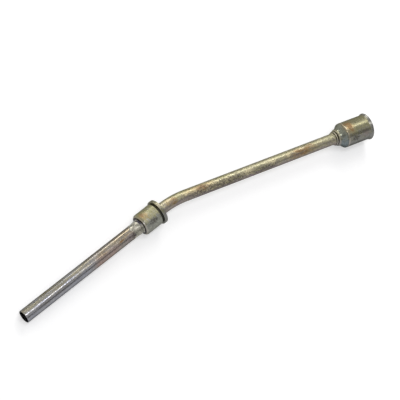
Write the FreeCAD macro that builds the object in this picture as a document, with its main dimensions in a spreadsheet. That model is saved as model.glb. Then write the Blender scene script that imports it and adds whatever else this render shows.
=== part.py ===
import FreeCAD, Part
import math
import os
import re

import Sketcher

# Oil dipstick tube. A plain lower tube and a bent upper tube are brazed into the two ends of a turned
# spigot that fits the engine block, and a turned cup for the dipstick's stopper is brazed on top.
#
# The tube is drawn standing in its block: the lower tube's axis is Z, the spigot's flange seats on the
# block at z = 0, and the upper tube leans over in the XZ plane. It is then laid on the ground, where it
# rests on the free end, the flange and the cup's lip. Sizes are in millimetres and degrees.

SIZES = {
    # the straight tube that reaches down into the sump
    "lower_tube_diameter": 14.3,
    "lower_tube_wall": 0.9,
    "lower_tube_reach": 181.0,
    "lower_tube_deburr": 0.25,
    # the bent tube above the block
    "upper_tube_diameter": 12.7,
    "upper_tube_wall": 0.9,
    "bend_height": 23.2,
    "bend_angle": 15.7,
    "bend_radius": 110.0,
    "cup_distance": 207.0,
    # the spigot, with a socket for each tube and a land between them that stops both
    "socket_clearance": 0.05,
    "lower_socket_depth": 12.0,
    "land_thickness": 2.0,
    "spigot_diameter": 24.3,
    "spigot_depth": 23.3,
    "spigot_nose_round": 2.6,
    "spigot_heel_round": 0.4,
    "undercut_width": 2.0,
    "undercut_depth": 1.3,
    "undercut_face_depth": 0.25,
    "undercut_face_margin": 0.25,
    "flange_diameter": 27.6,
    "flange_thickness": 3.7,
    "flange_edge_round": 0.35,
    # the cup's neck, with a groove, a bead, a second groove and a second bead
    "neck_diameter": 14.6,
    "neck_foot": 0.3,
    "neck_groove_width": 0.7,
    "neck_groove_depth": 0.4,
    "lower_bead_width": 1.7,
    "lower_bead_radius": 0.95,
    "lower_bead_rise": 0.4,
    "upper_bead_width": 2.1,
    "upper_bead_radius": 1.8,
    "upper_bead_rise": 1.65,
    # the cup's shoulder, wall and lip
    "shoulder_height": 6.4,
    "shoulder_hollow_radius": 14.0,
    "corner_height": 1.2,
    "corner_inset": 0.45,
    "corner_radius": 2.0,
    "cup_diameter": 28.0,
    "cup_wall": 1.3,
    "cup_wall_height": 29.6,
    "lip_diameter": 30.3,
    "lip_height": 3.3,
    "lip_edge_round": 0.3,
    # inside the cup, from the neck up
    "neck_socket_depth": 6.5,
    "stop_thickness": 1.5,
    "funnel_height": 6.3,
    # the rings of filler metal
    "nose_braze_length": 5.0,
    "nose_braze_height": 0.6,
    "flange_braze_length": 1.6,
    "flange_braze_height": 1.3,
    "neck_braze_length": 1.7,
}

# Steps of the search for the plane that the tube lies on, which settles after three or four
REST_STEPS = 12

doc = FreeCAD.newDocument("DipstickTube")


def fill_sheet():
    """Puts every driving dimension into the spreadsheet, one row each."""
    cells = doc.addObject("Spreadsheet::Sheet", "Sizes")
    for row, (name, value) in enumerate(SIZES.items(), 1):
        cells.set(f"A{row}", name)
        cells.set(f"B{row}", str(value))
        cells.setAlias(f"B{row}", name)
    doc.recompute()
    return cells


sheet = fill_sheet()
SIZE_NAME = re.compile(r"\b(" + "|".join(SIZES) + r")\b")


def linked(text):
    """An expression in the sizes' plain names, with each name pointing at its cell."""
    return SIZE_NAME.sub(r"Sizes.\1", text)


def value_of(text):
    """What an expression in the sizes' plain names comes to."""
    return float(sheet.evalExpression(linked(text)))


def new_body(label):
    body = doc.addObject("PartDesign::Body", label)
    body.Label = label
    return body


def new_sketch(body, name, role):
    """A sketch on the origin plane of its own body that has this role."""
    sketch = body.newObject("Sketcher::SketchObject", name)
    plane = next(item for item in body.Origin.OriginFeatures if item.Role == role)
    sketch.AttachmentSupport = (plane, [""])
    sketch.MapMode = "FlatFace"
    return sketch


def constrain(sketch, kind, *arguments, to=None):
    """Adds a constraint and, where it has a size, ties that size to an expression."""
    if to is None:
        sketch.addConstraint(Sketcher.Constraint(kind, *arguments))
        return
    index = sketch.addConstraint(Sketcher.Constraint(kind, *arguments, value_of(to)))
    sketch.setExpression(f"Constraints[{index}]", linked(to))


def arc_between(start, end, radius, hollow):
    """The shorter arc between two points, bulging to the right of the way, or to the left where hollow."""
    chord = end - start
    left = FreeCAD.Vector(-chord.y, chord.x, 0).normalize()
    rise = math.sqrt(radius**2 - (chord.Length / 2) ** 2)
    centre = (start + end) / 2 + left * (-rise if hollow else rise)
    first, last = (end, start) if hollow else (start, end)
    angles = [math.atan2(point.y - centre.y, point.x - centre.x) for point in (first, last)]
    return Part.ArcOfCircle(Part.Circle(centre, FreeCAD.Vector(0, 0, 1), radius), *angles)


def draw_outline(sketch, outline):
    """Draws a closed outline counterclockwise, up the outside of the metal and down the inside.

    Each corner is (radius, height) as expressions. A third entry is the radius of the arc that leads to
    the next corner, and a fourth, "hollow", bends that arc into the metal.
    """
    points = [FreeCAD.Vector(value_of(corner[0]), value_of(corner[1]), 0) for corner in outline]
    starts, ends = [], []
    for index, corner in enumerate(outline):
        here, there = points[index], points[(index + 1) % len(points)]
        hollow = len(corner) == 4
        if len(corner) == 2:
            edge = sketch.addGeometry(Part.LineSegment(here, there))
        else:
            edge = sketch.addGeometry(arc_between(here, there, value_of(corner[2]), hollow))
        starts.append((edge, 2 if hollow else 1))
        ends.append((edge, 1 if hollow else 2))
    for index, corner in enumerate(outline):
        constrain(sketch, "Coincident", *ends[index - 1], *starts[index])
        constrain(sketch, "DistanceX", -1, 1, *starts[index], to=corner[0])
        if corner[1] == "0":
            constrain(sketch, "PointOnObject", *starts[index], -1)
        else:
            constrain(sketch, "DistanceY", -1, 1, *starts[index], to=corner[1])
        if len(corner) > 2:
            constrain(sketch, "Radius", starts[index][0], to=corner[2])


def turned_piece(label, outline):
    """A piece turned about its own Z axis from one half outline."""
    body = new_body(label)
    sketch = new_sketch(body, f"{label}_outline", "XZ_Plane")
    draw_outline(sketch, outline)
    turning = body.newObject("PartDesign::Revolution", f"{label}_turning")
    turning.Profile = sketch
    turning.ReferenceAxis = (sketch, ["V_Axis"])
    turning.Angle = 360
    return body


# Places that more than one piece is drawn to
LOWER_RADIUS = "lower_tube_diameter / 2"
LOWER_BORE = "lower_tube_diameter / 2 - lower_tube_wall"
UPPER_RADIUS = "upper_tube_diameter / 2"
UPPER_BORE = "upper_tube_diameter / 2 - upper_tube_wall"
UPPER_SOCKET = "upper_tube_diameter / 2 + socket_clearance"
LAND_FOOT = "lower_socket_depth - spigot_depth"
LAND_TOP = "lower_socket_depth + land_thickness - spigot_depth"
LIP_FOOT = (
    "neck_foot + 2 * neck_groove_width + lower_bead_width + upper_bead_width"
    " + shoulder_height + corner_height + cup_wall_height"
)


def make_lower_tube():
    return turned_piece(
        "lower_tube",
        [
            (LOWER_BORE, "-lower_tube_reach"),
            ("lower_tube_diameter / 2 - lower_tube_deburr", "-lower_tube_reach"),
            (LOWER_RADIUS, "lower_tube_deburr - lower_tube_reach"),
            (LOWER_RADIUS, LAND_FOOT),
            (LOWER_BORE, LAND_FOOT),
        ],
    )


def make_spigot():
    """The spigot has a round nose, a stepped bore and, below its flange, an undercut that slopes into
    the flange's face, so that the block's square edge clears it.
    """
    socket = "lower_tube_diameter / 2 + socket_clearance"
    groove = "spigot_diameter / 2 - undercut_depth"
    flange_edge = "flange_diameter / 2 - flange_edge_round"
    return turned_piece(
        "block_spigot",
        [
            (socket, "-spigot_depth"),
            ("spigot_diameter / 2 - spigot_nose_round", "-spigot_depth", "spigot_nose_round"),
            ("spigot_diameter / 2", "spigot_nose_round - spigot_depth"),
            ("spigot_diameter / 2", "-undercut_width - spigot_heel_round", "spigot_heel_round"),
            ("spigot_diameter / 2 - spigot_heel_round", "-undercut_width"),
            (groove, "-undercut_width"),
            (groove, "undercut_face_depth"),
            ("spigot_diameter / 2 + undercut_face_margin", "0"),
            (flange_edge, "0", "flange_edge_round"),
            ("flange_diameter / 2", "flange_edge_round"),
            ("flange_diameter / 2", "flange_thickness - flange_edge_round", "flange_edge_round"),
            (flange_edge, "flange_thickness"),
            (UPPER_SOCKET, "flange_thickness"),
            (UPPER_SOCKET, LAND_TOP),
            (UPPER_BORE, LAND_TOP),
            (UPPER_BORE, LAND_FOOT),
            (socket, LAND_FOOT),
        ],
    )


def make_upper_tube():
    """The upper tube runs from the spigot's land, round its bend and into the cup's neck."""
    body = new_body("upper_tube")
    section = new_sketch(body, "upper_tube_section", "XY_Plane")
    section.setExpression("AttachmentOffset.Base.z", linked(LAND_TOP))
    for radius in (UPPER_RADIUS, UPPER_BORE):
        circle = Part.Circle(FreeCAD.Vector(), FreeCAD.Vector(0, 0, 1), value_of(radius))
        edge = section.addGeometry(circle)
        constrain(section, "Coincident", edge, 3, -1, 1)
        constrain(section, "Radius", edge, to=radius)

    bend_start = "bend_height - bend_radius * tan(bend_angle / 2)"
    bend_end_side = "bend_radius * tan(bend_angle / 2) * sin(bend_angle)"
    bend_end_height = "bend_height + bend_radius * tan(bend_angle / 2) * cos(bend_angle)"
    top_side = "(cup_distance + neck_socket_depth) * sin(bend_angle)"
    top_height = "bend_height + (cup_distance + neck_socket_depth) * cos(bend_angle)"
    foot = FreeCAD.Vector(0, value_of(LAND_TOP), 0)
    bend_from = FreeCAD.Vector(0, value_of(bend_start), 0)
    bend_to = FreeCAD.Vector(value_of(bend_end_side), value_of(bend_end_height), 0)
    top = FreeCAD.Vector(value_of(top_side), value_of(top_height), 0)

    path = new_sketch(body, "upper_tube_path", "XZ_Plane")
    lower_run = path.addGeometry(Part.LineSegment(foot, bend_from))
    bend = path.addGeometry(arc_between(bend_from, bend_to, value_of("bend_radius"), True))
    upper_run = path.addGeometry(Part.LineSegment(bend_to, top))
    constrain(path, "PointOnObject", lower_run, 1, -2)
    constrain(path, "Vertical", lower_run)
    constrain(path, "DistanceY", -1, 1, lower_run, 1, to=LAND_TOP)
    constrain(path, "DistanceY", -1, 1, lower_run, 2, to=bend_start)
    constrain(path, "Tangent", lower_run, 2, bend, 2)
    constrain(path, "Radius", bend, to="bend_radius")
    constrain(path, "Tangent", bend, 1, upper_run, 1)
    constrain(path, "DistanceX", -1, 1, upper_run, 2, to=top_side)
    constrain(path, "DistanceY", -1, 1, upper_run, 2, to=top_height)
    doc.recompute()

    sweep = body.newObject("PartDesign::AdditivePipe", "upper_tube_sweep")
    sweep.Profile = section
    sweep.Spine = (path, ["Edge1", "Edge2", "Edge3"])
    return body


def make_cup():
    """The cup stands on its neck's foot at z = 0 of its own axes, with its mouth up."""
    groove = "neck_diameter / 2 - neck_groove_depth"
    lower_bead = "neck_foot + neck_groove_width"
    upper_groove = f"{lower_bead} + lower_bead_width"
    upper_bead = f"{upper_groove} + neck_groove_width"
    shoulder = f"{upper_bead} + upper_bead_width"
    corner = f"{shoulder} + shoulder_height"
    ridge = "neck_diameter / 2 + lower_bead_rise"
    bore = "cup_diameter / 2 - cup_wall"
    lip_top = f"{LIP_FOOT} + lip_height"
    funnel_foot = "neck_socket_depth + stop_thickness"
    return turned_piece(
        "dipstick_cup",
        [
            (UPPER_SOCKET, "0"),
            ("neck_diameter / 2", "0"),
            ("neck_diameter / 2", "neck_foot"),
            (groove, "neck_foot"),
            (groove, lower_bead),
            ("neck_diameter / 2", lower_bead, "lower_bead_radius"),
            (ridge, upper_groove),
            (f"{ridge} - neck_groove_depth", upper_groove),
            (f"{ridge} - neck_groove_depth", upper_bead),
            (ridge, upper_bead, "upper_bead_radius"),
            (f"{ridge} + upper_bead_rise", shoulder, "shoulder_hollow_radius", "hollow"),
            ("cup_diameter / 2 - corner_inset", corner, "corner_radius"),
            ("cup_diameter / 2", f"{corner} + corner_height"),
            ("cup_diameter / 2", LIP_FOOT),
            ("lip_diameter / 2", f"{lip_top} - lip_edge_round", "lip_edge_round"),
            ("lip_diameter / 2 - lip_edge_round", lip_top),
            ("lip_diameter / 2 - cup_wall", lip_top),
            (bore, f"{LIP_FOOT} + cup_wall / 2"),
            (bore, f"{funnel_foot} + funnel_height"),
            (UPPER_BORE, funnel_foot),
            (UPPER_BORE, "neck_socket_depth"),
            (UPPER_SOCKET, "neck_socket_depth"),
        ],
    )


def braze_ring(label, radius, height, face, length):
    """A hollow fillet of filler metal between a tube and a face, reaching along the tube by length.

    A negative length reaches down the tube. The hollow is twice as wide as one that would run out
    along the tube, so that the ring ends in a plain edge.
    """
    hollow = f"(({length})^2 + ({height})^2) / ({height})"
    crest = (f"{radius} + {height}", face)
    tip = (radius, f"{face} + {length}")
    corner = (radius, face)
    if value_of(length) > 0:
        return turned_piece(label, [corner, (*crest, hollow, "hollow"), tip])
    return turned_piece(label, [(*tip, hollow, "hollow"), crest, corner])


def make_brazes():
    """The rings below the spigot's nose, above its flange and below the cup's neck."""
    neck_height = "(neck_diameter - upper_tube_diameter) / 2"
    nose = braze_ring(
        "braze_nose", LOWER_RADIUS, "nose_braze_height", "-spigot_depth", "-nose_braze_length"
    )
    flange = braze_ring(
        "braze_flange", UPPER_RADIUS, "flange_braze_height", "flange_thickness", "flange_braze_length"
    )
    neck = braze_ring("braze_neck", UPPER_RADIUS, neck_height, "0", "-neck_braze_length")
    return nose, flange, neck


def cup_placement():
    """Where the cup's own axes stand: on the upper tube's axis, that far past the bend."""
    lean = FreeCAD.Rotation(FreeCAD.Vector(0, 1, 0), value_of("bend_angle"))
    along = lean.multVec(FreeCAD.Vector(0, 0, value_of("cup_distance")))
    return FreeCAD.Placement(FreeCAD.Vector(0, 0, value_of("bend_height")) + along, lean)


def outer_ring(place, height, radius, edge_round):
    """A round edge that the tube can lie on: its centre, its axis, its radius and the edge's rounding."""
    centre = place.multVec(FreeCAD.Vector(0, 0, value_of(height)))
    axis = place.Rotation.multVec(FreeCAD.Vector(0, 0, 1))
    return centre, axis, value_of(radius) - value_of(edge_round), value_of(edge_round)


def furthest(rings, way):
    """The point of the rings that lies furthest along a direction."""
    points = []
    for centre, axis, radius, edge_round in rings:
        across = (way - axis * way.dot(axis)).normalize()
        points.append(centre + across * radius + way * edge_round)
    return max(points, key=way.dot)


def lying_placement():
    """Lays the standing tube on the ground: X along it, Z up, the origin below the middle of its box."""
    standing = FreeCAD.Placement()
    free_end = [
        outer_ring(standing, "lower_tube_deburr - lower_tube_reach", LOWER_RADIUS, "0"),
        outer_ring(standing, "-lower_tube_reach", f"{LOWER_RADIUS} - lower_tube_deburr", "0"),
    ]
    flange = [
        outer_ring(standing, height, "flange_diameter / 2", "flange_edge_round")
        for height in ("flange_edge_round", "flange_thickness - flange_edge_round")
    ]
    lip_height = f"{LIP_FOOT} + lip_height - lip_edge_round"
    lip = [outer_ring(cup_placement(), lip_height, "lip_diameter / 2", "lip_edge_round")]

    down = FreeCAD.Vector(0, 1, 0)
    for _ in range(REST_STEPS):
        end_point, flange_point, lip_point = (furthest(rings, down) for rings in (free_end, flange, lip))
        down = (lip_point - end_point).cross(flange_point - end_point).normalize()
        down *= math.copysign(1, down.y)

    up = -down
    length = (lip[0][0] - free_end[0][0]).projectToPlane(FreeCAD.Vector(), up).normalize()
    width = up.cross(length)
    rings = free_end + flange + lip
    middle = FreeCAD.Vector()
    for way in (length, width):
        middle += way * (furthest(rings, way).dot(way) + furthest(rings, -way).dot(way)) / 2
    middle += up * end_point.dot(up)
    turn = FreeCAD.Rotation(length, width, up, "ZXY").inverted()
    return FreeCAD.Placement(turn.multVec(-middle), turn)


def check(pieces):
    """Stops on any object that failed to compute and on any piece that isn't one sound solid."""
    failed = [item.Name for item in doc.Objects if {"Invalid", "Error"} & set(item.State)]
    if failed:
        raise RuntimeError(f"these objects failed: {failed}")
    for piece in pieces:
        shape = piece.Shape
        if shape.isNull() or not shape.isValid() or len(shape.Solids) != 1:
            raise RuntimeError(f"{piece.Label} isn't one sound solid")


nose_braze, flange_braze, neck_braze = make_brazes()
standing_pieces = [make_lower_tube(), make_upper_tube(), make_spigot(), nose_braze, flange_braze]
cup_pieces = [make_cup(), neck_braze]
doc.recompute()

lying = lying_placement()
for piece in standing_pieces:
    piece.Placement = lying
for piece in cup_pieces:
    piece.Placement = lying * cup_placement()
doc.recompute()

all_pieces = standing_pieces + cup_pieces
check(all_pieces)
os.makedirs("parts", exist_ok=True)
for piece in all_pieces:
    piece.Shape.exportStep(os.path.join("parts", f"{piece.Label}.step"))
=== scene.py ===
import math

import bpy
from mathutils import Euler, Matrix, Vector, noise


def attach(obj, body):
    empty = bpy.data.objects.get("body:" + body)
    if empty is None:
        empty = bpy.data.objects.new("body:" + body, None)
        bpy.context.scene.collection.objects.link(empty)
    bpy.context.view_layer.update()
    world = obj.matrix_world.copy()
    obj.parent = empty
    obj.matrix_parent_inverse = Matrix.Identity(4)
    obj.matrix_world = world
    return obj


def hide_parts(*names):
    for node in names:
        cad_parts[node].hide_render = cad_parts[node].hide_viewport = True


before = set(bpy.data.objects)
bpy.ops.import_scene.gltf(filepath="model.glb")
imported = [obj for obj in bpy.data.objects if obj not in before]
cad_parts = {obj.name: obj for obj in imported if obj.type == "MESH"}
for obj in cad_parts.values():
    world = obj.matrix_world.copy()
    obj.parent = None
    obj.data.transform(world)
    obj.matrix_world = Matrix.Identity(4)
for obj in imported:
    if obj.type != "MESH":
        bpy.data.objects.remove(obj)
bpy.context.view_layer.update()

# Looks of the oil dipstick tube: zinc plated steel whose yellow passivate has gone patchy, with rust,
# stains and grey filler metal at the joints. Some of its marks are painted light: painted shade in
# grooves, round the spigot's nose and along dark edges, painted highlights on edges and beads, and more
# yellow on the side the key light faces. It lies on a pale floor under two strip lights, and three dull
# cards show only in its reflections.
#
# Marks are placed in two sets of axes, in millimetres: LOWER belongs to the lower tube and the spigot,
# with z = 0 on the flange's seat, and UPPER to the upper tube and the cup, with z = 0 at the foot of the
# cup's neck. In both, z runs towards the cup. A patch is (height, angle about z, radius, length, width),
# and may end with how ragged its edge is and the grain of that edge.

MILLIMETRE = 0.001

LOWER = {"origin": (-0.0479829, 0.0139942, 0.0137781), "turn": (-87.8809, 7.0619, -81.1113)}
UPPER = {"origin": (0.1804178, -0.0075740, 0.0150558), "turn": (-89.8810, 7.3704, -96.9344)}

LOWER_TUBE_RADIUS = 7.15
UPPER_TUBE_RADIUS = 6.35
SPIGOT_RADIUS = 12.15
FLANGE_RADIUS = 13.8
NOSE_RADIUS = 11.3
CUP_RADIUS = 14.0
LIP_RADIUS = 15.0

# Heights of the two faces of the spigot that the filler metal meets
NOSE_FACE = -23.3
FLANGE_FACE = 3.7

# The side of the tube that keeps most of its yellow passivate, as an angle about z. It is also the side
# the key light faces, so the yellow there is partly the key's warm light painted in.
YELLOW_AND_LIT_SIDE = -138.0

CAMERA_PLACE = (-0.7394797, -0.091989, 1.522254)
CAMERA_TURN = (16.6281, -20.8064, -32.6898)
CAMERA_LENS = 144.136


def linear(code):
    """A colour written as in a paint program, "#rrggbb", in the linear values that shaders use."""
    channels = [int(code[i : i + 2], 16) / 255 for i in (1, 3, 5)]
    return (*[c / 12.92 if c <= 0.04045 else ((c + 0.055) / 1.055) ** 2.4 for c in channels], 1.0)


# Colours of the plate, the bare steel under it, the filler metal and the stains, some of them also
# used for painted shade and painted highlights
PASSIVATE = linear("#848066")
PASSIVATE_OLIVE = linear("#7a7855")
PASSIVATE_PALE = linear("#979278")
BARE_WARM = linear("#847d75")
BARE_GREY = linear("#8b8b8f")
BARE_BLUE = linear("#83858f")
# Dull grey of bare steel, also used as painted shade over the cup's lip
DULL_GREY = linear("#7a7976")
BARE_GREEN = linear("#898a81")
SLATE = linear("#697275")
MAUVE = linear("#7a6f70")
ROSE = linear("#927e77")
BROWN = linear("#74665a")
# Light colour for rubbed wear, also used for painted highlights on edges, beads and the flange's rim
RUB_AND_HIGHLIGHT = linear("#b5aaa0")
# A painted glint on the rounded edge of the spigot's nose
NOSE_GLINT = linear("#e4dfdb")
FLECK = linear("#b4aa8a")
TAN = linear("#8c7c5c")
RUST = linear("#7d5e38")
# Dark colour for pits and grime, also used as painted shade in grooves, along dark edges and over
# highlights
GRIME_AND_SHADE = linear("#35312a")
# Dark violet grey for oil, burnt flux and a pit, also used as painted shade round the spigot's nose and
# along the lower tube
OIL_AND_SHADE = linear("#444149")
FILLER = linear("#9b978b")
FILLER_DARK = linear("#7b7a6f")


# The Mix node's sockets for colours
MIX_SHARE = 0
MIX_FIRST = 6
MIX_SECOND = 7
MIX_RESULT = 2


class Shader:
    """Builds one material's nodes. An input is a plain value or another node's output."""

    def __init__(self, name):
        self.material = bpy.data.materials.new(name)
        self.material.use_nodes = True
        self.tree = self.material.node_tree
        self.surface = self.tree.nodes["Principled BSDF"]

    def add(self, kind, *inputs, output=0, **settings):
        node = self.tree.nodes.new(kind)
        for name, value in settings.items():
            setattr(node, name, value)
        for socket, value in zip(node.inputs, inputs):
            self.feed(socket, value)
        return node.outputs[output]

    def feed(self, socket, value):
        if isinstance(value, bpy.types.NodeSocket):
            self.tree.links.new(value, socket)
        elif value is not None:
            socket.default_value = value

    def set(self, name, value):
        self.feed(self.surface.inputs[name], value)

    def math(self, operation, *inputs):
        return self.add("ShaderNodeMath", *inputs, operation=operation)

    def vector(self, operation, *inputs, output=0):
        return self.add("ShaderNodeVectorMath", *inputs, output=output, operation=operation)

    def between(self, value, low, high, start=0.0, end=1.0):
        """The value eased from start, at low, to end, at high."""
        return self.add(
            "ShaderNodeMapRange", value, low, high, start, end, interpolation_type="SMOOTHSTEP"
        )

    def mix(self, share, first, second, blend_type="MIX"):
        node = self.tree.nodes.new("ShaderNodeMix")
        node.data_type = "RGBA"
        node.blend_type = blend_type
        self.feed(node.inputs[MIX_SHARE], share)
        self.feed(node.inputs[MIX_FIRST], first)
        self.feed(node.inputs[MIX_SECOND], second)
        return node.outputs[MIX_RESULT]

    def placed(self, coordinates, origin, turn, size):
        """Coordinates measured from the origin, along turned axes and in units of the size given."""
        return self.add("ShaderNodeMapping", coordinates, origin, turn, size, vector_type="TEXTURE")

    def axes(self, place):
        """Coordinates in millimetres in one of the two sets of axes."""
        coordinates = self.add("ShaderNodeTexCoord", output="Object")
        turn = [math.radians(angle) for angle in place["turn"]]
        scale = (MILLIMETRE, MILLIMETRE, MILLIMETRE)
        return self.placed(coordinates, place["origin"], turn, scale)

    def stretched(self, coordinates, scale):
        return self.add("ShaderNodeMapping", coordinates, (0, 0, 0), (0, 0, 0), scale)

    def noise(self, coordinates, scale, detail=3.0, roughness=0.5, distortion=0.0):
        """Noise about 0.5, with a grain of about 1 / scale millimetres."""
        node = self.tree.nodes.new("ShaderNodeTexNoise")
        for name, value in (
            ("Vector", coordinates),
            ("Scale", scale),
            ("Detail", detail),
            ("Roughness", roughness),
            ("Distortion", distortion),
        ):
            self.feed(node.inputs[name], value)
        return node.outputs["Fac"]

    def side(self, coordinates, angle):
        """1 on the side of the tube at that angle about z, falling to -1 on the opposite side."""
        flat = self.vector("MULTIPLY", coordinates, (1, 1, 0))
        outward = self.vector("NORMALIZE", flat)
        way = (math.cos(math.radians(angle)), math.sin(math.radians(angle)), 0)
        return self.vector("DOT_PRODUCT", outward, way, output="Value")

    def patch(self, coordinates, height, angle, radius, length, width, ragged=0.5, grain=0.35):
        """1 inside a stain of that length and width on the surface, with a ragged edge."""
        turn = math.radians(angle)
        centre = (radius * math.cos(turn), radius * math.sin(turn), height)
        size = (width / 2, width / 2, length / 2)
        local = self.placed(coordinates, centre, (0, 0, 0), size)
        away = self.vector("LENGTH", local, output="Value")
        rag = self.math("MULTIPLY", self.noise(coordinates, grain, 4.0, 0.65), 2 * ragged)
        edge = self.math("SUBTRACT", self.math("ADD", away, rag), ragged)
        return self.between(edge, 1.3, 0.45)

    def band(self, height, colour, low, high, soft, band_colour, strength):
        """The colour given, turned to the band's colour between two heights with a soft edge."""
        above = self.between(height, low - soft, low + soft)
        below = self.between(height, high + soft, high - soft, 0.0, strength)
        return self.mix(self.math("MULTIPLY", above, below), colour, band_colour)

    def most(self, masks):
        """The strongest of several masks."""
        strongest = masks[0]
        for mask in masks[1:]:
            strongest = self.math("MAXIMUM", strongest, mask)
        return strongest

    def bump(self, height, depth, normal=None):
        """Raises the surface by up to depth millimetres where the height is 1."""
        node = self.tree.nodes.new("ShaderNodeBump")
        node.inputs["Distance"].default_value = depth * MILLIMETRE
        self.feed(node.inputs["Height"], height)
        self.feed(node.inputs["Normal"], normal)
        return node.outputs["Normal"]


def plated(
    name,
    place,
    plate,
    bare,
    stains_and_painted_light,
    rust,
    pitted,
    under=(),
    over=(),
    yellow=(-0.35, 0.85),
    ragged=0.6,
    flow=(1, 1, 0.3),
    contrast=1.0,
    tone=1.0,
    rough=0.34,
    rings=0.0,
    waves=0.25,
    relief=1.0,
    coat=0.0,
):
    """Worn zinc plate: passivate kept on one side and bare steel on the other, with staining, pits and
    rust, and with painted shade and painted highlights. The yellow side is also the side the key light
    faces, so its yellow partly paints that light's warmth.

    plate and bare are three colours each. The marks, each (colour, strength, patches), are staining and
    wear, and also painted shade and painted highlights; rust and pitted are lists of patches. under and
    over are bands, on the bare steel alone or on everything, and some bands are painted shade or painted
    highlights. yellow is where the passivate starts and where it is whole, between -1 and 1 about the
    tube. flow stretches the mottling, and relief is how deep the fine unevenness is.
    """
    shader = Shader(name)
    spot = shader.axes(place)
    along = shader.stretched(spot, flow)
    height = shader.add("ShaderNodeSeparateXYZ", spot, output="Z")

    cloudy = shader.noise(along, 0.14, 4.0, 0.6)
    mottled = shader.noise(along, 0.45, 5.0, 0.62)
    fine = shader.noise(spot, 1.6, 4.0, 0.65)

    steel = shader.mix(shader.between(cloudy, 0.4, 0.62, 0.0, contrast), bare[0], bare[1])
    steel = shader.mix(shader.between(mottled, 0.5, 0.64, 0.0, 0.85 * contrast), steel, bare[2])
    for band in under:
        steel = shader.band(height, steel, *band)
    cover = shader.mix(shader.between(mottled, 0.42, 0.6, 0.0, contrast), plate[0], plate[1])
    cover = shader.mix(shader.between(cloudy, 0.5, 0.64, 0.0, 0.85 * contrast), cover, plate[2])
    edge = shader.between(mottled, 0.3, 0.7, -ragged, ragged)
    # More yellow towards the key-lit side: partly worn plate, partly painted warm light.
    reach = shader.math("ADD", shader.side(spot, YELLOW_AND_LIT_SIDE), edge)
    colour = shader.mix(shader.between(reach, *yellow), steel, cover)
    for band in over:
        colour = shader.band(height, colour, *band)

    broken = shader.between(mottled, 0.35, 0.6, 0.3, 1.0)
    # Each mark is staining or wear, or painted shade or a painted highlight laid on as a colour.
    for mark_colour, strength, patches in stains_and_painted_light:
        mask = shader.most([shader.patch(spot, *patch) for patch in patches])
        mask = shader.math("MULTIPLY", mask, broken)
        colour = shader.mix(shader.math("MULTIPLY", mask, strength), colour, mark_colour)
    rusty = shader.most([shader.patch(spot, *patch) for patch in rust])
    rusty = shader.math("MULTIPLY", rusty, shader.between(mottled, 0.36, 0.6, 0.15, 0.9))
    colour = shader.mix(rusty, colour, RUST)

    eaten = shader.most([shader.patch(spot, *patch) for patch in pitted])
    depth = shader.math("MULTIPLY_ADD", eaten, 0.13, shader.noise(spot, 0.9, 5.0, 0.75))
    pits = shader.between(depth, 0.56, 0.68, 0.0, 0.85)
    colour = shader.mix(pits, colour, GRIME_AND_SHADE)
    speckled = shader.noise(spot, 0.75, 2.0, 0.5)
    shade = shader.math(
        "MULTIPLY",
        shader.between(fine, 0.3, 0.7, 0.9 * tone, 1.1 * tone),
        shader.between(speckled, 0.36, 0.64, 1 - 0.2 * contrast, 1 + 0.2 * contrast),
    )
    grey = shader.add("ShaderNodeCombineColor", shade, shade, shade)
    colour = shader.mix(1.0, colour, grey, "MULTIPLY")
    shader.set("Base Color", colour)

    dull = shader.most([rusty, pits])
    shader.set("Metallic", shader.between(dull, 0.2, 1.0, 1.0, 0.5))
    runs = shader.noise(shader.stretched(spot, (0.02, 0.02, 1)), 0.05, 3.0, 0.6)
    shine = shader.between(mottled, 0.3, 0.7, -0.05 * relief, 0.07 * relief)
    shine = shader.math("ADD", shine, shader.between(runs, 0.35, 0.65, -0.05, 0.09))
    shine = shader.math("ADD", shine, shader.math("MULTIPLY_ADD", dull, 0.2, rough))
    shader.set("Roughness", shine)
    shader.set("Specular Tint", (0.22, 0.22, 0.2, 1.0))
    shader.set("Coat Weight", coat)
    shader.set("Coat Roughness", 0.28)

    normal = shader.bump(shader.noise(along, 0.1, 1.0, 0.4), waves)
    normal = shader.bump(mottled, 0.035 * relief, normal)
    normal = shader.bump(fine, 0.014 * relief, normal)
    normal = shader.bump(shader.math("MULTIPLY", dull, -1.0), 0.06, normal)
    if rings:
        turned = shader.noise(shader.stretched(spot, (0.03, 0.03, 1.0)), 1.6, 4.0, 0.7)
        normal = shader.bump(turned, rings, normal)
    shader.set("Normal", normal)
    return shader.material


def dress(node, material):
    """Gives a CAD node its material."""
    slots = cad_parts[node].data.materials
    for index in range(len(slots)):
        slots[index] = material


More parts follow.
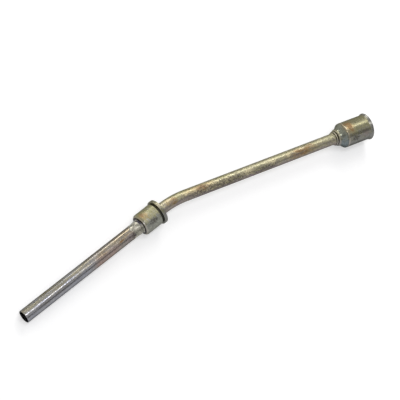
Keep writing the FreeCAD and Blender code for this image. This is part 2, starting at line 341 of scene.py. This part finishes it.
UPPER_PLATE = plated(
    "upper_tube_plate",
    UPPER,
    plate=(PASSIVATE, PASSIVATE_PALE, PASSIVATE_OLIVE),
    bare=(BARE_WARM, MAUVE, BROWN),
    stains_and_painted_light=[
        (TAN, 0.95, [
            (-176.0, -108.0, UPPER_TUBE_RADIUS, 48.0, 10.0),
            (-45.0, -85.0, UPPER_TUBE_RADIUS, 44.0, 11.0),
            (-213.0, -86.0, UPPER_TUBE_RADIUS, 15.0, 9.0),
        ]),
        (MAUVE, 0.6, [(-180.0, -60.0, UPPER_TUBE_RADIUS, 40.0, 8.0)]),
        # Painted shade: darker strips along the tube's lower edge and its upper edge, standing in for
        # dark reflections there.
        (GRIME_AND_SHADE, 0.3, [
            (-100.0, -4.0, UPPER_TUBE_RADIUS, 260.0, 9.0),
            (-100.0, -172.0, UPPER_TUBE_RADIUS, 260.0, 5.0),
        ]),
        (FLECK, 0.8, [
            (-193.0, -98.0, UPPER_TUBE_RADIUS, 5.0, 3.0, 1.2, 0.9),
            (-158.0, -84.0, UPPER_TUBE_RADIUS, 60.0, 8.0, 1.3, 0.7),
            (-140.0, -98.0, UPPER_TUBE_RADIUS, 11.0, 3.5, 1.2, 0.9),
            (-115.0, -86.0, UPPER_TUBE_RADIUS, 16.0, 7.0, 1.2, 0.9),
            (-84.0, -90.0, UPPER_TUBE_RADIUS, 12.0, 6.0, 1.2, 0.9),
            (-62.0, -96.0, UPPER_TUBE_RADIUS, 7.0, 4.0, 1.2, 0.9),
        ]),
    ],
    rust=[
        (-47.0, -80.0, UPPER_TUBE_RADIUS, 22.0, 9.0),
        (-35.0, -112.0, UPPER_TUBE_RADIUS, 12.0, 5.0),
        (-171.0, -104.0, UPPER_TUBE_RADIUS, 18.0, 7.0),
        (-208.5, -87.0, UPPER_TUBE_RADIUS, 9.0, 8.0),
    ],
    pitted=[
        (-152.0, -66.0, UPPER_TUBE_RADIUS, 84.0, 12.0),
        (-92.0, -58.0, UPPER_TUBE_RADIUS, 30.0, 7.0),
    ],
    yellow=(-0.3, 0.9),
    coat=0.45,
)
dress("upper_tube", UPPER_PLATE)
dress("braze_neck", UPPER_PLATE)
dress("lower_tube", plated(
    "lower_tube_plate",
    LOWER,
    plate=(PASSIVATE_PALE, BARE_WARM, PASSIVATE),
    bare=(BARE_GREY, BARE_BLUE, BARE_GREY),
    stains_and_painted_light=[
        (ROSE, 0.95, [
            (-77.0, -40.0, LOWER_TUBE_RADIUS, 28.0, 16.0),
            (-66.0, -70.0, LOWER_TUBE_RADIUS, 22.0, 8.0),
        ]),
        (TAN, 0.5, [
            (-48.0, -125.0, LOWER_TUBE_RADIUS, 30.0, 12.0),
            (-74.0, -108.0, LOWER_TUBE_RADIUS, 20.0, 6.0),
        ]),
        (MAUVE, 0.7, [(-41.0, -60.0, LOWER_TUBE_RADIUS, 16.0, 9.0)]),
        # Painted shade: a dark band below the overhead light's highlight, and a dark line along the
        # upper edge, both standing in for dark reflections.
        (OIL_AND_SHADE, 0.35, [(-142.0, -79.0, LOWER_TUBE_RADIUS, 110.0, 4.0)]),
        (GRIME_AND_SHADE, 0.35, [(-100.0, -158.0, LOWER_TUBE_RADIUS, 220.0, 4.0)]),
    ],
    rust=[(-52.0, -88.0, LOWER_TUBE_RADIUS, 9.0, 2.5)],
    pitted=[(-36.0, -62.0, LOWER_TUBE_RADIUS, 10.0, 7.0)],
    over=[(-92.0, -20.0, 12.0, BARE_WARM, 0.75)],
    yellow=(0.3, 1.5),
    flow=(1, 1, 0.14),
    contrast=0.6,
    rough=0.18,
    waves=0.05,
    relief=0.1,
))
dress("block_spigot", plated(
    "spigot_steel",
    LOWER,
    plate=(PASSIVATE, PASSIVATE_OLIVE, PASSIVATE_OLIVE),
    bare=(BARE_GREEN, DULL_GREY, BARE_GREEN),
    stains_and_painted_light=[
        (TAN, 0.9, [(-17.5, -130.0, SPIGOT_RADIUS, 12.0, 14.0)]),
        (PASSIVATE_OLIVE, 0.8, [(-17.0, -152.0, SPIGOT_RADIUS, 14.0, 7.0)]),
        # Painted shade on the flange's rim on either side of a painted highlight, and a painted glint on
        # the nose's rounded edge.
        (GRIME_AND_SHADE, 0.5, [
            (2.0, -152.0, FLANGE_RADIUS, 6.0, 13.0),
            (2.0, -95.0, FLANGE_RADIUS, 6.0, 7.0),
        ]),
        (RUB_AND_HIGHLIGHT, 0.45, [(2.0, -118.0, FLANGE_RADIUS, 4.0, 7.0)]),
        (NOSE_GLINT, 1.0, [(-23.0, -94.0, NOSE_RADIUS, 2.2, 2.6)]),
    ],
    rust=[(-18.5, -136.0, SPIGOT_RADIUS, 6.0, 6.0, 0.8, 0.4)],
    pitted=[(-12.0, -75.0, SPIGOT_RADIUS, 12.0, 7.0)],
    under=[(0.2, 4.0, 0.2, DULL_GREY, 0.9)],
    over=[
        # Painted highlight on the nose's rounded edge, partly rubbed wear; painted shade on the nose
        # face round the tube, partly oil; painted shade in the undercut groove.
        (-23.25, -22.3, 0.1, RUB_AND_HIGHLIGHT, 0.35),
        (-30.0, -23.25, 0.05, OIL_AND_SHADE, 0.85),
        (-1.6, -0.1, 0.1, GRIME_AND_SHADE, 0.85),
    ],
    yellow=(0.4, 0.95),
    ragged=0.25,
    flow=(0.5, 0.5, 1.0),
    contrast=0.6,
    rough=0.36,
    rings=0.035,
    waves=0.12,
    relief=0.6,
    coat=0.3,
))
dress("dipstick_cup", plated(
    "cup_plate",
    UPPER,
    plate=(PASSIVATE, PASSIVATE_OLIVE, PASSIVATE),
    bare=(DULL_GREY, DULL_GREY, SLATE),
    stains_and_painted_light=[
        (TAN, 0.9, [(18.0, -122.0, CUP_RADIUS, 15.0, 19.0)]),
        (MAUVE, 0.6, [(36.0, -62.0, CUP_RADIUS, 10.0, 10.0)]),
        # Painted shade along the cup's underside and over the lip's highlight.
        (GRIME_AND_SHADE, 0.5, [
            (28.0, -5.0, CUP_RADIUS, 46.0, 11.0),
            (45.4, -98.0, LIP_RADIUS, 3.8, 17.0),
        ]),
    ],
    rust=[
        (18.5, -116.0, CUP_RADIUS, 8.0, 9.0, 0.8, 0.3),
        (18.0, -131.0, CUP_RADIUS, 10.0, 8.0, 0.8, 0.3),
        (20.0, -99.0, CUP_RADIUS, 4.0, 5.0, 0.8, 0.3),
    ],
    pitted=[(22.0, -54.0, CUP_RADIUS, 12.0, 7.0)],
    under=[(5.8, 12.6, 0.8, SLATE, 1.0)],
    over=[
        (5.6, 12.0, 0.6, SLATE, 0.45),
        # Painted shade in the dark line before the shoulder's corner and in the neck's two grooves,
        # painted highlights on the corner, partly rubbed wear, and on the neck's beads, and painted
        # shade over the lip.
        (11.6, 12.5, 0.3, GRIME_AND_SHADE, 0.3),
        (12.8, 14.1, 0.4, RUB_AND_HIGHLIGHT, 0.6),
        (0.3, 1.0, 0.1, GRIME_AND_SHADE, 0.95),
        (1.2, 2.5, 0.2, RUB_AND_HIGHLIGHT, 0.4),
        (2.7, 3.4, 0.1, GRIME_AND_SHADE, 0.95),
        (3.8, 5.2, 0.3, RUB_AND_HIGHLIGHT, 0.2),
        (43.0, 60.0, 0.4, DULL_GREY, 0.8),
    ],
    yellow=(-0.3, 0.9),
    ragged=0.35,
    flow=(1, 1, 0.6),
    contrast=0.5,
    tone=0.9,
    rough=0.25,
    rings=0.008,
    waves=0.1,
    relief=0.2,
    coat=0.3,
))


def filler(name):
    """Grey green filler metal, lumpy, darkened in its hollows and next to the spigot's nose by burnt
    flux and by painted shade.
    """
    shader = Shader(name)
    spot = shader.axes(LOWER)
    height = shader.add("ShaderNodeSeparateXYZ", spot, output="Z")
    lumps = shader.noise(spot, 0.35, 4.0, 0.55)
    colour = shader.mix(shader.between(lumps, 0.4, 0.6), FILLER_DARK, FILLER)
    dirt = shader.between(shader.noise(spot, 0.8, 3.0), 0.6, 0.7, 0.0, 0.7)
    colour = shader.mix(dirt, colour, GRIME_AND_SHADE)
    colour = shader.mix(shader.patch(spot, -36.2, -58.0, LOWER_TUBE_RADIUS, 3.4, 3.0), colour, OIL_AND_SHADE)
    # Painted shade, partly burnt flux: a dark notch where the tube enters the nose, and a dark band on
    # the filler next to the nose face.
    colour = shader.mix(shader.patch(spot, -24.6, -128.0, 7.8, 3.4, 9.0), colour, OIL_AND_SHADE)
    at_nose = shader.between(height, NOSE_FACE - 0.6, NOSE_FACE - 0.1, 0.0, 0.9)
    below_flange = shader.between(height, -10.0, -20.0)
    soot_and_shade = shader.math("MULTIPLY", at_nose, below_flange)
    colour = shader.mix(soot_and_shade, colour, OIL_AND_SHADE)
    shader.set("Base Color", colour)
    shader.set("Metallic", 0.9)
    shader.set("Roughness", shader.between(lumps, 0.3, 0.7, 0.22, 0.38))
    shader.set("Normal", shader.bump(lumps, 0.1))
    return shader.material


FILLER_METAL = filler("filler_metal")

# The beads of filler metal: points round the tube, how deep they sink into it in millimetres, how much
# their height varies, and the grains of the unevenness of their end and of their height
BEAD_SIDES = 128
BEAD_SEAT = 0.02
BEAD_SWELL = 0.5
END_GRAIN = 1.7
SWELL_GRAIN = 2.6


def filler_bead(name, node, radius, face, way, profile, wander):
    """An uneven ring of filler metal round a tube that replaces the plain ring of the CAD model.

    It starts at the face and runs along the tube, up or down its axis as way is 1 or -1. The profile
    is a list of (distance from the face, height above the tube), and wander is how unevenly it ends.
    """
    to_scene = Matrix.LocRotScale(
        Vector(LOWER["origin"]),
        Euler([math.radians(angle) for angle in LOWER["turn"]]),
        Vector((MILLIMETRE, MILLIMETRE, MILLIMETRE)),
    )
    outline = profile + [(distance, -BEAD_SEAT) for distance, _ in reversed(profile)]
    vertices = []
    for step in range(BEAD_SIDES):
        turn = 2 * math.pi * step / BEAD_SIDES
        side = Vector((math.cos(turn), math.sin(turn), 0))
        reach = 1 + wander * noise.noise(side * END_GRAIN + Vector((0, 0, face)))
        for index, (distance, rise) in enumerate(outline):
            place = side * SWELL_GRAIN + Vector((0, 0, distance / 3))
            swell = 1 + BEAD_SWELL * noise.noise(place)
            lift = rise * swell if index < len(profile) else rise
            spot = side * (radius + lift) + Vector((0, 0, face + way * distance * reach))
            vertices.append(to_scene @ spot)
    faces = []
    count = len(outline)
    for step in range(BEAD_SIDES):
        here, there = step * count, (step + 1) % BEAD_SIDES * count
        for index in range(count):
            following = (index + 1) % count
            corners = (here + index, there + index, there + following, here + following)
            faces.append(corners if way < 0 else corners[::-1])
    mesh = bpy.data.meshes.new(name)
    mesh.from_pydata(vertices, [], faces)
    mesh.polygons.foreach_set("use_smooth", [True] * len(faces))
    mesh.materials.append(FILLER_METAL)
    bead = bpy.data.objects.new(name, mesh)
    bpy.context.scene.collection.objects.link(bead)
    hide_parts(node)
    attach(bead, "root")


filler_bead(
    "nose_filler",
    "braze_nose",
    LOWER_TUBE_RADIUS,
    NOSE_FACE,
    -1,
    [
        (0.0, 1.3),
        (0.4, 0.85),
        (0.9, 0.52),
        (1.6, 0.36),
        (2.4, 0.4),
        (3.6, 0.6),
        (5.0, 0.56),
        (6.5, 0.36),
        (8.0, 0.2),
        (9.5, 0.14),
        (11.0, 0.16),
        (12.0, 0.26),
        (12.6, 0.2),
        (13.0, 0.0),
    ],
    0.35,
)
filler_bead(
    "flange_filler",
    "braze_flange",
    UPPER_TUBE_RADIUS,
    FLANGE_FACE,
    1,
    [(0.0, 1.3), (0.4, 0.85), (0.9, 0.48), (1.5, 0.22), (2.1, 0.08), (2.5, 0.0)],
    0.5,
)


def seen_directly(tree):
    """1 for the rays that show the background itself, in a picture, a reflection or through glass."""
    path = tree.nodes.new("ShaderNodeLightPath")
    seen = path.outputs["Is Camera Ray"]
    for name in ("Is Glossy Ray", "Is Transmission Ray"):
        either = tree.nodes.new("ShaderNodeMath")
        either.operation = "MAXIMUM"
        tree.links.new(seen, either.inputs[0])
        tree.links.new(path.outputs[name], either.inputs[1])
        seen = either.outputs[0]
    return seen


def scaled(tree, value, factor, offset):
    node = tree.nodes.new("ShaderNodeMath")
    node.operation = "MULTIPLY_ADD"
    tree.links.new(value, node.inputs[0])
    node.inputs[1].default_value = factor
    node.inputs[2].default_value = offset
    return node.outputs[0]


# The floor's size in metres and its colour, the glow that makes it show as white, and the world's light.
# The glow and the world's full white show only to the camera and in reflections.
FLOOR_SIZE = 8.0
FLOOR_PALE = 0.8
FLOOR_GLOW = 0.36
WORLD_LIGHT = 0.6


def make_floor():
    """A pale floor that shows as white and keeps the tube's shadow."""
    bpy.ops.mesh.primitive_plane_add(size=FLOOR_SIZE)
    floor = bpy.context.object
    floor.name = "floor"
    material = bpy.data.materials.new("floor_white")
    material.use_nodes = True
    tree = material.node_tree
    tree.nodes.clear()
    diffuse = tree.nodes.new("ShaderNodeBsdfDiffuse")
    diffuse.inputs["Color"].default_value = (FLOOR_PALE, FLOOR_PALE, FLOOR_PALE, 1)
    glow = tree.nodes.new("ShaderNodeEmission")
    tree.links.new(scaled(tree, seen_directly(tree), FLOOR_GLOW, 0.0), glow.inputs["Strength"])
    both = tree.nodes.new("ShaderNodeAddShader")
    tree.links.new(diffuse.outputs[0], both.inputs[0])
    tree.links.new(glow.outputs[0], both.inputs[1])
    output = tree.nodes.new("ShaderNodeOutputMaterial")
    tree.links.new(both.outputs[0], output.inputs["Surface"])
    floor.data.materials.append(material)


def make_world():
    world = bpy.data.worlds.new("studio")
    bpy.context.scene.world = world
    world.use_nodes = True
    tree = world.node_tree
    background = tree.nodes["Background"]
    background.inputs["Color"].default_value = (1, 1, 1, 1)
    strength = scaled(tree, seen_directly(tree), 1.0 - WORLD_LIGHT, WORLD_LIGHT)
    tree.links.new(strength, background.inputs["Strength"])


def facing(place, way):
    """A turn that points local -Z from the place to the tube, with local X along the way given."""
    back = Vector(place).normalized()
    right = (Vector(way) - back * Vector(way).dot(back)).normalized()
    up = back.cross(right)
    return Matrix((right, up, back)).transposed().to_euler()


def strip_light(name, towards, distance, way, length, width, radiance, colour):
    """A strip light whose long side lies along the way given."""
    light = bpy.data.lights.new(name, "AREA")
    light.shape = "RECTANGLE"
    light.size = length
    light.size_y = width
    light.energy = radiance * math.pi * length * width
    light.color = colour
    lamp = bpy.data.objects.new(name, light)
    bpy.context.scene.collection.objects.link(lamp)
    lamp.location = Vector(towards).normalized() * distance
    lamp.rotation_euler = facing(lamp.location, way)


def flag(name, towards, distance, length, height, grey):
    """A dull card that faces the tube and shows only in the metal's reflections."""
    bpy.ops.mesh.primitive_plane_add(size=1)
    card = bpy.context.object
    card.name = name
    card.scale = (length, height, 1)
    card.location = Vector(towards).normalized() * distance
    card.rotation_euler = facing(card.location, (-towards[1], towards[0], 0))
    material = bpy.data.materials.new(name)
    material.use_nodes = True
    surface = material.node_tree.nodes["Principled BSDF"]
    surface.inputs["Base Color"].default_value = (grey, grey, grey, 1)
    surface.inputs["Roughness"].default_value = 0.9
    card.data.materials.append(material)
    card.visible_camera = False
    card.visible_diffuse = False
    card.visible_shadow = False


def make_camera():
    camera = bpy.data.objects.new("camera", bpy.data.cameras.new("camera"))
    bpy.context.scene.collection.objects.link(camera)
    camera.location = CAMERA_PLACE
    camera.rotation_euler = [math.radians(angle) for angle in CAMERA_TURN]
    camera.data.lens = CAMERA_LENS
    camera.data.clip_end = 20
    bpy.context.scene.camera = camera


make_floor()
make_world()
strip_light(
    "key",
    towards=(0.433, 0.75, 0.501),
    distance=1.60,
    way=(0.45, -0.705, 0.548),
    length=1.78,
    width=0.4,
    radiance=5.6,
    colour=(1.0, 0.99, 0.96),
)
strip_light(
    "overhead",
    towards=(-0.022, 0.109, 0.994),
    distance=1.54,
    way=(0.984, 0.162, -0.074),
    length=0.6,
    width=0.2,
    radiance=10.0,
    colour=(0.95, 0.95, 1.0),
)
flag("far_flag", towards=(0.604, 1.835, 0.19), distance=1.94, length=1.6, height=0.38, grey=0.05)
flag("side_flag", towards=(0.36, -0.68, 0.64), distance=1.9, length=2.2, height=0.7, grey=0.5)
flag("camera_flag", towards=(-0.44, -0.06, 0.90), distance=2.4, length=1.5, height=1.3, grey=0.5)
make_camera()
bpy.context.scene.view_settings.view_transform = "Standard"
